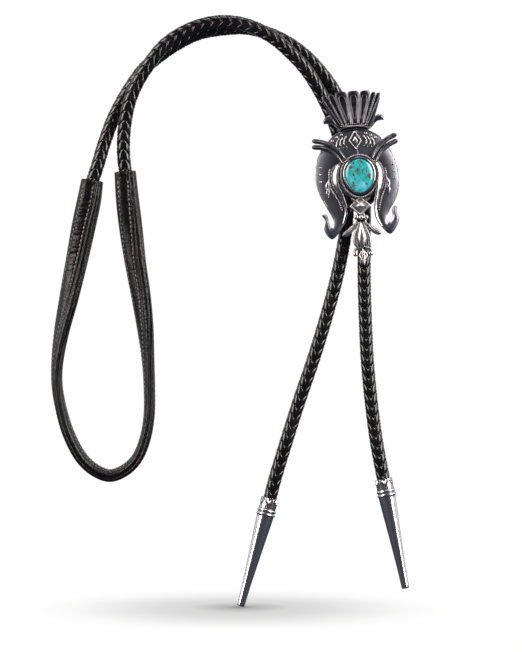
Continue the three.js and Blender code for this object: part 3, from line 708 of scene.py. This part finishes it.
def pad(shell, outline, crown, lift=0.0, tone=0.3, height=plate_height, corner=False, power=0.5, rim=0.5):
    """A pillow over a closed outline: rings shrink towards its middle while the front rises, and the back is a flat
    copy. Corner keeps the outline's corners; otherwise it is rounded through its points."""
    points = np.array(outline, float)
    closed = np.vstack([points, points[:1]])
    if corner:
        share = np.linspace(0, 1, 12, endpoint=False)[None, :, None]
        edge = (closed[:-1, None] + (closed[1:] - closed[:-1])[:, None] * share).reshape(-1, 2)
    else:
        edge = closed_curve(points, 60)
    middle = points.mean(axis=0)
    rings, shades = [], []
    for scale in (0.02, 0.2, 0.4, 0.6, 0.75, 0.87, 0.95, 1.0):
        flat = middle + (edge - middle) * scale
        w = height(flat[:, 0], flat[:, 1]) + lift + crown * (1 - scale ** 2) ** power
        rings.append(slide_point(flat[:, 0], flat[:, 1], w))
        gap = np.linalg.norm(edge - middle, axis=1) * (1 - scale)
        shades.append(tone * (1 - np.exp(-((gap / rim) ** 2))))
    low = height(edge[:, 0], edge[:, 1]) + lift - 0.8
    rings.append(slide_point(edge[:, 0], edge[:, 1], low))
    rings.append(slide_point(middle[0] + (edge[:, 0] - middle[0]) * 0.02, middle[1] + (edge[:, 1] - middle[1]) * 0.02,
                             low))
    shades += [np.full(len(edge), 0.5)] * 2
    shell.tube(np.stack(rings), np.stack(shades))


def closed_curve(points, count):
    """Smooth closed curve through the points."""
    size = len(points)
    wrapped = np.vstack([points, points, points])
    curve = catmull_rom(wrapped, 24)[size * 24:2 * size * 24 + 1]
    run = np.concatenate([[0], np.cumsum(np.linalg.norm(np.diff(curve, axis=0), axis=1))])
    distance = np.linspace(0, run[-1], count, endpoint=False)
    return np.stack([np.interp(distance, run, curve[:, i]) for i in range(2)], axis=1)


def wire(shell, points, radius, lift=0.0, height=plate_height, closed=False, count=48, tone=0.0, beaded=0.0,
         pitch=0.8, sharp=False):
    """A round wire laid along a curve on the slide; beaded swells it into grains as a raised cosine of the
    distance along it."""
    points = np.array(points, float)
    if closed:
        flat = closed_curve(points, count)
    elif sharp:
        flat = points
    else:
        flat = smooth_line(points, count)
    line = slide_point(flat[:, 0], flat[:, 1], height(flat[:, 0], flat[:, 1]) + lift)
    if closed:
        tangent = unit(np.roll(line, -1, axis=0) - np.roll(line, 1, axis=0))
    else:
        tangent = unit(np.gradient(line, axis=0))
    across = unit(np.cross(tangent, (0, -1.0, 0)))
    up = np.cross(across, tangent)
    run = np.concatenate([[0], np.cumsum(np.linalg.norm(np.diff(line, axis=0), axis=1))])
    swell = radius * (1 - beaded + beaded * np.sqrt(np.abs(np.sin(math.pi * run / pitch))))
    turn = np.arange(10) * 2 * math.pi / 10
    ring = np.cos(turn)[None, :, None] * across[:, None] + np.sin(turn)[None, :, None] * up[:, None]
    rings = line[:, None] + ring * swell[:, None, None]
    shade = np.repeat((tone + 0.9 * (1 - swell / radius))[:, None], 10, axis=1)
    if closed:
        shell.loop(rings, shade)
    else:
        shell.tube(rings, shade)


def bead(shell, u, v, radius, lift=0.0, height=plate_height, stretch=1.0, tone=0.0):
    """A ball, or an oval one, set into the surface."""
    polar = np.linspace(0, math.pi, 11)[1:-1, None]
    turn = np.arange(18) * 2 * math.pi / 18
    w = height(u, v) + lift + radius * 0.8 * np.cos(polar) + 0 * turn
    reach = radius * np.sin(polar)
    rings = slide_point(u + reach * np.cos(turn), v + stretch * reach * np.sin(turn), w)
    shade = tone + 0.8 * soft_step(-np.cos(polar), -0.5, 0.6) + 0 * turn
    shell.tube(rings, shade)


def level(w):
    """A flat height."""
    return lambda u, v: w + 0 * np.asarray(u, float)


def crown_height(u, v):
    """The crown stands a little forward at its foot and leans back towards its top."""
    return 5.9 - 0.6 * soft_step(v, 21, 36)


def oval(a, b, centre=(0.0, 0.0), count=48, egg=0.0):
    """Closed oval outline, a little narrower at the foot when egg is more than 0."""
    turn = np.arange(count) * 2 * math.pi / count
    squeeze = 1 + egg * np.sin(turn)
    return np.column_stack([centre[0] + a * np.cos(turn) * squeeze, centre[1] + b * np.sin(turn)])


def slide_plate(shell):
    sheet(shell, LEFT_OUTER, LEFT_INNER, ARM_CROWN, tone=0.4)
    sheet(shell, RIGHT_OUTER, RIGHT_INNER, ARM_CROWN, tone=0.25)
    pad(shell, oval(9.4, 10.6, (0, 0.1), 48, 0.09), 0.4, lift=-0.1, tone=0.8)
    sheet(shell, [(-7.1, 19.4), (-9.6, 24.0), (-13.6, 32.8)], [(5.4, 19.6), (7.8, 24.0), (11.0, 32.8)], 0.3, tone=0.9,
          rows=60, columns=31, height=crown_height)


def slide_crown(shell):
    """Seven blades that spread from the crown's foot: two narrow cross-cut ones at each side of three broad
    lobes, each edged by a bright raised line, and each lobe holding a raised loop."""
    top_edges = [-14.3, -11.6, -8.7, -3.1, 2.4, 7.2, 9.5, 11.5]
    root_edges = [-7.0 + (edge + 14.3) * 12.4 / 25.8 for edge in top_edges]
    tops = [34.9, 35.3, 36.2, 36.3, 36.1, 35.3, 34.9]
    for i in range(7):
        low = np.array([(root_edges[i] + root_edges[i + 1]) / 2, 22.6])
        high = np.array([(top_edges[i] + top_edges[i + 1]) / 2, tops[i]])
        wide_low, wide_high = (root_edges[i + 1] - root_edges[i]) / 2, (top_edges[i + 1] - top_edges[i]) / 2
        broad = 2 <= i <= 4
        share = np.array([0, 0.3, 0.6, 0.84, 0.93, 0.98, 1.0])
        centre = low + (high - low) * share[:, None]
        half = (wide_low + (wide_high - wide_low) * share) * 0.94
        half[3:] *= np.array([1.0, 0.92, 0.66, 0.25]) if broad else np.array([1.0, 0.9, 0.6, 0.2])
        ribbon(shell, centre, half, 0.55 if broad else 0.5, 0.75, 70, 15, crown_height, 0.25, 0.3,
               0.0 if broad else 0.3)
        outline = np.vstack([centre[:-1] + [1, 0] * half[:-1, None], centre[-1:], (centre[:-1] - [1, 0] * half[:-1, None])[::-1]])
        wire(shell, outline, 0.13, 0.5, crown_height, count=90, tone=0.35)
        if broad:
            side = np.array([[0.12, 0.2], [0.45, 0.5], [0.72, 0.56], [0.84, 0.36], [0.88, 0.0]])
            rise = low + (high - low) * side[:, :1]
            wide = (wide_low + (wide_high - wide_low) * side[:, 0]) * side[:, 1]
            loop = np.vstack([np.column_stack([rise[:, 0] + wide, rise[:, 1]]),
                              np.column_stack([rise[:, 0] - wide, rise[:, 1]])[::-1][1:]])
            wire(shell, loop, 0.15, 0.75, crown_height, count=70, tone=0.35)
    for k in range(26):
        u = -6.2 + (k % 13) * 0.92 + 0.2 * (k // 13)
        v = 21.6 + 0.75 * (k // 13) + 0.05 * (k % 3)
        bead(shell, u, v, 0.26, 0.45, crown_height)
    wire(shell, [(-7.4, 20.1), (-4.6, 21.0), (-0.9, 21.3), (3.0, 21.0), (5.9, 20.2)], 0.34, 0.9, crown_height)
    wire(shell, [(-7.2, 18.9), (-4.4, 19.8), (-0.9, 20.1), (2.8, 19.8), (5.6, 19.0)], 0.2, 0.7, crown_height)
    for upper, lower in (LEFT_HORN, RIGHT_HORN):
        sheet(shell, upper, lower, 0.8, 0.45, 60, 15, level(5.3), 0.4)
        wire(shell, lower, 0.24, 0.1, level(5.5))


def outward_end(line):
    """A last point a little further on, to round off a strip's end."""
    last, before = np.array(line[-1]), np.array(line[-2])
    return tuple(last + unit(last - before) * 0.55)


def slide_feathers(shell):
    """Two tapered, curved ribs on each side that spring from the bezel and pass over the plate's edge."""
    for lines in (
        [(-5.6, 7.6), (-8.0, 11.0), (-11.4, 13.9), (-15.0, 15.4), (-18.6, 16.2)],
        [(-6.8, 5.8), (-9.2, 9.2), (-12.2, 11.9), (-15.4, 13.1), (-18.8, 13.6)],
        [(6.0, 7.2), (7.6, 10.0), (10.0, 12.9), (13.0, 15.2), (16.4, 16.7)],
        [(7.4, 5.6), (8.8, 8.2), (11.0, 10.9), (13.8, 12.9), (16.7, 14.1)],
    ):
        ribbon(shell, lines + [outward_end(lines)], [0.6, 0.95, 1.05, 1.05, 0.85, 0.1], 1.0, 0.55, 60, 13, lift=1.1, rim=0.22)
        wire(shell, lines, 0.16, 2.1, plate_height, count=60)


def slide_bezel(shell):
    """A plain wall and a broad rolled band round the stone, with a beaded wire outside them."""
    turn = np.arange(120) * 2 * math.pi / 120
    section = np.array([(8.9, 5.4), (8.9, 6.9), (8.5, 7.25), (7.1, 7.3), (6.85, 7.7), (6.85, 8.3), (6.6, 8.55),
                        (6.3, 8.6), (6.1, 8.5), (6.0, 8.2), (6.0, 5.6)])
    reach, w = section[:, 0], section[:, 1]
    egg = 1 + 0.09 * np.sin(turn)[:, None]
    rings = slide_point(reach * np.cos(turn)[:, None] * egg, (reach + 1.2) * np.sin(turn)[:, None] + 0.1, w + 0 * egg)
    tone = np.array([0.6, 0.35, 0.3, 0.6, 0.8, 0.25, 0.1, 0.0, 0.2, 0.9, 0.9]) + 0 * turn[:, None]
    shell.loop(rings, tone)
    wire(shell, oval(7.75, 8.95, (0, 0.1), 24, 0.09), 0.5, 0.0, level(7.5), True, 420, 0.1, 0.5, 0.85)
    wire(shell, oval(8.75, 9.95, (0, 0.1), 24, 0.09), 0.26, 0.0, level(7.2), True, 120, 0.35)
    wire(shell, oval(9.35, 10.55, (0, 0.1), 24, 0.09), 0.2, 0.0, level(6.9), True, 120, 0.35)


def slide_motifs(shell):
    diamond = [(-1.0, 19.2), (1.7, 15.2), (-0.6, 11.4), (-3.3, 15.2)]
    wire(shell, outline_of(diamond), 0.28, 1.1, sharp=True)
    pad(shell, shrink(diamond, 0.5), 0.7, 0.9, 0.2, corner=True)
    for side, shift in ((-1, -0.9), (1, -0.9)):
        for reach in (3.6, 5.2, 6.8):
            chevron = [(side * reach + shift, 18.4 - reach * 0.3), (side * (reach + 1.3) + shift, 15.4 - reach * 0.3),
                       (side * (reach - 0.2) + shift, 12.9 - reach * 0.12)]
            wire(shell, chevron, 0.28, 1.0, count=16)
    for u, v in ((-6.4, 18.0), (-8.5, 17.0), (-10.5, 15.6), (3.9, 18.1), (5.9, 17.1), (7.8, 16.0)):
        bead(shell, u, v, 0.62, 0.6)
    for u, v in ((-16.2, 4.5), (-16.5, 1.6), (-16.5, -1.4), (14.4, 4.3), (14.8, 1.4), (14.7, -1.4)):
        bead(shell, u, v, 0.55, 0.75)
    for side, shift in ((-1, -0.9), (1, -0.9)):
        lean = side
        for turn, root in ((0.0, -2.2), (-1.0, -5.0)):
            centre = [(lean * 12.2 + shift, root + 1.4), (lean * 13.0 + shift, root - 1.0), (lean * 13.4 + shift + turn * 0.6 * lean, root - 3.4)]
            ribbon(shell, centre, [0.15, 0.85, 0.1], 0.5, 0.2, 30, 9, lift=0.85, rim=0.25)


def slide_arms(shell):
    """The bright line and the row of grains inside each arm's inner edge, and a bright line at its outer one."""
    for outer, inner in ((LEFT_OUTER, LEFT_INNER), (RIGHT_OUTER, RIGHT_INNER)):
        a, b = matched_edges(outer, inner, 800)
        width = np.linalg.norm(a - b, axis=1, keepdims=True)
        toward = (a - b) / width
        for depth, first, last, radius, grains in ((0.4, 60, 560, 0.3, 0), (2.1, 250, 520, 0.34, 0.65),
                                                   (1.1, 60, 540, 0.14, 0), (-0.35, 30, 480, 0.18, 0)):
            start, step = (b, toward) if depth > 0 else (a, toward)
            inset = np.sign(depth) * np.minimum(abs(depth), width * 0.42)
            lift = crown_lift(ARM_CROWN, width, np.abs(inset) / width)[first:last, 0]
            wire(shell, (start + step * inset)[first:last], radius, lift + 0.1, beaded=grains, pitch=1.0, sharp=True)
    ribbon(shell, [(-8.6, 5.6), (-10.4, 1.4), (-10.3, -3.0), (-8.5, -7.4), (-7.2, -11.2), (-6.9, -15.2), (-8.4, -20.0)],
           [0.7, 1.25, 1.25, 1.0, 0.8, 0.6, 0.3], 0.35, 0.0, lift=0.9, tilt=0.5)
    ribbon(shell, [(6.9, 6.4), (8.9, 1.8), (8.5, -3.6), (7.0, -9.0), (6.2, -13.4), (6.5, -17.8), (8.4, -22.0)],
           [0.7, 1.25, 1.3, 1.0, 0.8, 0.7, 0.3], 0.35, 0.0, lift=0.9, tilt=-0.5)


def outline_of(points, count=10):
    """A closed outline with straight sides, as a fine run of points that meets its start."""
    closed = np.vstack([points, points[:1]]).astype(float)
    share = np.linspace(0, 1, count, endpoint=False)[None, :, None]
    run = (closed[:-1, None] + (closed[1:] - closed[:-1])[:, None] * share).reshape(-1, 2)
    return np.vstack([run, closed[-1:]])


def shrink(points, scale):
    """The outline drawn in towards its middle."""
    points = np.array(points, float)
    return points.mean(axis=0) + (points - points.mean(axis=0)) * scale


def slide_pendant(shell):
    """Below the stone: a bevelled diamond with a raised one in it, three balls, a long polished drop between
    petals and leaves, and a small scrolled foot."""
    flat = level(6.3)
    diamond = [(-0.4, -9.0), (3.6, -12.6), (-0.6, -16.4), (-4.6, -12.6)]
    pad(shell, diamond, 0.7, 0.6, 0.25, flat, True, 0.9)
    wire(shell, outline_of(diamond), 0.44, 0.8, flat, sharp=True)
    pad(shell, shrink(diamond, 0.52), 1.0, 1.1, 0.1, flat, True, 0.8)
    ribbon(shell, [(-4.0, -9.4), (-1.6, -11.0), (-0.5, -12.4)], [0.5, 0.6, 0.3], 0.7, 0.2, height=flat, lift=0.6)
    ribbon(shell, [(3.6, -9.4), (1.0, -11.0), (-0.3, -12.4)], [0.5, 0.6, 0.3], 0.7, 0.2, height=flat, lift=0.6)
    ribbon(shell, [(-0.5, -15.6), (-0.5, -22.0), (-0.6, -30.0), (-0.5, -37.4)], [1.6, 2.6, 1.7, 0.5], 0.3, 0.9,
           height=level(5.2))
    for u, v in ((-2.5, -17.2), (-0.4, -17.5), (1.7, -17.5)):
        bead(shell, u, v, 1.05, 0.6, flat)
    pod = [(-0.7, -19.0), (0.7, -22.4), (1.55, -26.4), (0.7, -29.2), (-0.7, -30.8), (-2.1, -29.2), (-2.75, -26.4),
           (-2.0, -22.4)]
    pad(shell, pod, 1.7, 0.9, 0.05, flat, power=0.6)
    for side in (-1, 1):
        base = -0.55
        petal = [(base + side * 0.9, -19.4), (base + side * 1.9, -22.4), (base + side * 3.0, -25.6),
                 (base + side * 2.9, -28.4), (base + side * 1.5, -30.8)]
        ribbon(shell, petal, [0.3, 0.62, 0.8, 0.8, 0.3], 0.7, 0.3, height=flat, lift=0.45, rim=0.2)
        leaf = [(base + side * 1.2, -19.6), (base + side * 3.2, -21.2), (base + side * 5.4, -23.2),
                (base + side * 7.4, -24.4), (base + side * 8.3, -24.7)]
        ribbon(shell, leaf, [0.5, 1.0, 1.2, 1.0, 0.15], 0.8, 0.4, height=flat, lift=0.35)
        wire(shell, leaf[1:4], 0.18, 1.1, flat)
        lower = [(base + side * 1.0, -30.6), (base + side * 3.0, -30.8), (base + side * 3.9, -32.0)]
        ribbon(shell, lower, [0.5, 0.6, 0.45], 0.7, 0.2, height=flat, lift=0.4)
        bead(shell, base + side * 3.3, -32.9, 0.95, 0.6, flat)
        wire(shell, [(base, -31.4), (base + side * 1.5, -33.6), (base + side * 0.7, -35.6), (base, -37.2)], 0.42, 0.7,
             flat)
    ribbon(shell, [(-0.6, -30.8), (-0.5, -33.2), (-0.3, -35.6), (-0.2, -37.8)], [0.4, 1.0, 0.7, 0.1], 0.9, 0.2,
           height=flat, lift=0.5)


def slide_back(shell):
    """The flat back plate behind the stone and the two short tubes that the cords run through."""
    pad(shell, oval(11, 13, (-1.5, -1)), 0.1, 0.0, 0.7, level(PLATE_BACK + 0.9))
    turn = np.arange(48) * 2 * math.pi / 48
    for u in (-1.95 - 3.65, -1.95 + 3.65):
        section = [(3.3, -6.0), (4.1, -6.0), (4.1, 6.0), (3.3, 6.0)]
        rings = np.stack([slide_point(u + r * np.cos(turn), v + 0 * turn, r * np.sin(turn)) for r, v in section], axis=1)
        shell.loop(rings, np.full(rings.shape[:2], 0.45))


def slide_piece(name, parts, material, angle=None):
    shell = Shell()
    for part in parts:
        part(shell)
    return shell.build(name, material, angle)


def turquoise():
    """Polished turquoise: sky blue clouded with green blue, crossed by a rust-brown web of its mother rock that
    widens into spots, under a glassy skin."""
    stone = Finish("turquoise", Roughness=0.12, Specular_IOR_Level=0.6, Coat_Weight=0.5, Coat_Roughness=0.04,
                   Subsurface_Weight=0.05, Subsurface_Scale=0.002)
    place = stone.node("ShaderNodeTexCoord").outputs["Object"]
    cloud = stone.node("ShaderNodeTexNoise", Vector=place, Scale=260.0, Detail=4.0, Roughness=0.6).outputs["Fac"]
    colour = stone.ramp(cloud, [(0.3, "#209a9c"), (0.45, "#30b4b4"), (0.56, "#42bcc4"), (0.7, "#78c9e0")])
    bend = stone.node("ShaderNodeTexNoise", Vector=place, Scale=420.0, Detail=3.0).outputs["Color"]
    warped = stone.node("ShaderNodeMixRGB", {"blend_type": "LINEAR_LIGHT"}, Fac=0.0035, Color1=place, Color2=bend)
    web = stone.node("ShaderNodeTexVoronoi", {"feature": "DISTANCE_TO_EDGE"}, Vector=warped.outputs[0], Scale=330.0)
    patch = stone.node("ShaderNodeTexNoise", Vector=place, Scale=300.0, Detail=2.0).outputs["Fac"]
    thin = stone.ramp(patch, [(0.45, 0.0), (0.7, 0.1)])
    vein = stone.node("ShaderNodeMath", {"operation": "LESS_THAN"}, i0=web.outputs["Distance"], i1=thin)
    spots = stone.node("ShaderNodeAttribute", {"attribute_name": "tone"}).outputs["Fac"]
    rock = stone.node("ShaderNodeMath", {"operation": "MAXIMUM"}, i0=vein.outputs[0], i1=spots)
    brown = stone.ramp(bend, [(0.4, "#4a2f20"), (0.6, "#6d5038")])
    mixed = stone.node("ShaderNodeMixRGB", Fac=rock.outputs[0], Color1=colour, Color2=brown)
    stone.link("Base Color", mixed.outputs[0])
    return stone.material


MATRIX_SPOTS = [(-2.2, 5.6, 0.4), (-2.7, 3.9, 0.5), (-1.9, 2.1, 0.4), (-2.6, 0.6, 0.55), (-2.2, -1.2, 0.35),
                (-2.9, -2.8, 0.5), (2.6, 3.2, 0.35), (3.6, 0.6, 0.4), (1.4, -1.8, 0.32), (2.9, -3.4, 0.42), (0.4, 4.6, 0.25)]


def stone_dome(material):
    """Egg-shaped cabochon: rings from its middle to its girdle, raised as a flattened half circle. The tone marks
    round spots of rock, each fading at its edge."""
    turn = np.arange(96) * 2 * math.pi / 96
    rings, tones = [], []
    for scale in np.concatenate([[0.01], np.linspace(0.04, 0.96, 40), [0.99, 1.0]]):
        u = 6.0 * scale * np.cos(turn) * (1 + 0.1 * np.sin(turn))
        v = 7.2 * scale * np.sin(turn) + 0.1
        rings.append(slide_point(u, v, 8.0 + 1.9 * (1 - scale ** 2.2) ** 0.5))
        edge = 0.18 * np.sin(5 * u + 1.3 * v) + 0.12 * np.sin(9 * v - 4 * u)
        near = [soft_step(r + edge - np.hypot(u - a, v - b), -0.08, 0.08) for a, b, r in MATRIX_SPOTS]
        tones.append(np.max(near, axis=0))
    rings.append(slide_point(5.9 * np.cos(turn), 7.1 * np.sin(turn) + 0.1, 6.5 + 0 * turn))
    rings.append(slide_point(0.1 * np.cos(turn), 0.1 * np.sin(turn) + 0.1, 6.4 + 0 * turn))
    tones += [0 * turn] * 2
    shell = Shell()
    shell.tube(np.stack(rings), np.stack(tones))
    return shell.build("turquoise_cabochon_looks", material)


oxidised_silver = silver("oxidised_silver", "#d0cccb", "#85868e", "#16181d", 0.2, 0.5)
brushed_silver = silver("brushed_silver", "#a0a4ac", "#70747e", "#26282e", 0.36, 0.35)
satin_silver = silver("satin_silver", "#dedad8", "#a4a2a4", "#3a393c", 0.32, 0.3)
plate = slide_piece("slide_plate", [slide_plate], brushed_silver)
relief = slide_piece("slide_relief", [slide_crown, slide_feathers, slide_motifs, slide_arms], oxidised_silver)
pendant = slide_piece("slide_pendant", [slide_pendant], satin_silver)
bezel = slide_piece("slide_bezel", [slide_bezel], oxidised_silver, 40)
back = slide_piece("slide_back", [slide_back], oxidised_silver, 40)
stone = stone_dome(turquoise())


# ---------------------------------------------------------------- what rides and what it replaces
RIDERS = [
    (front_cord, "cord_front", "cord_leather"),
    (rear_cord, "cord_rear", "cord_leather"),
    (strap, "neck_strap", "strap_leather"),
    (stitches, "neck_strap", "strap_leather"),
    (left_tip, "tip_left", "polished_silver"),
    (right_tip, "tip_right", "polished_silver"),
    (plate, "silver_slide", "oxidised_silver"),
    (relief, "silver_slide", "oxidised_silver"),
    (pendant, "silver_slide", "oxidised_silver"),
    (bezel, "silver_slide", "oxidised_silver"),
    (back, "silver_slide", "oxidised_silver"),
    (stone, "turquoise_cabochon", "turquoise"),
]
for piece, node, slot in RIDERS:
    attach(piece, "root")
    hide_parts(node)
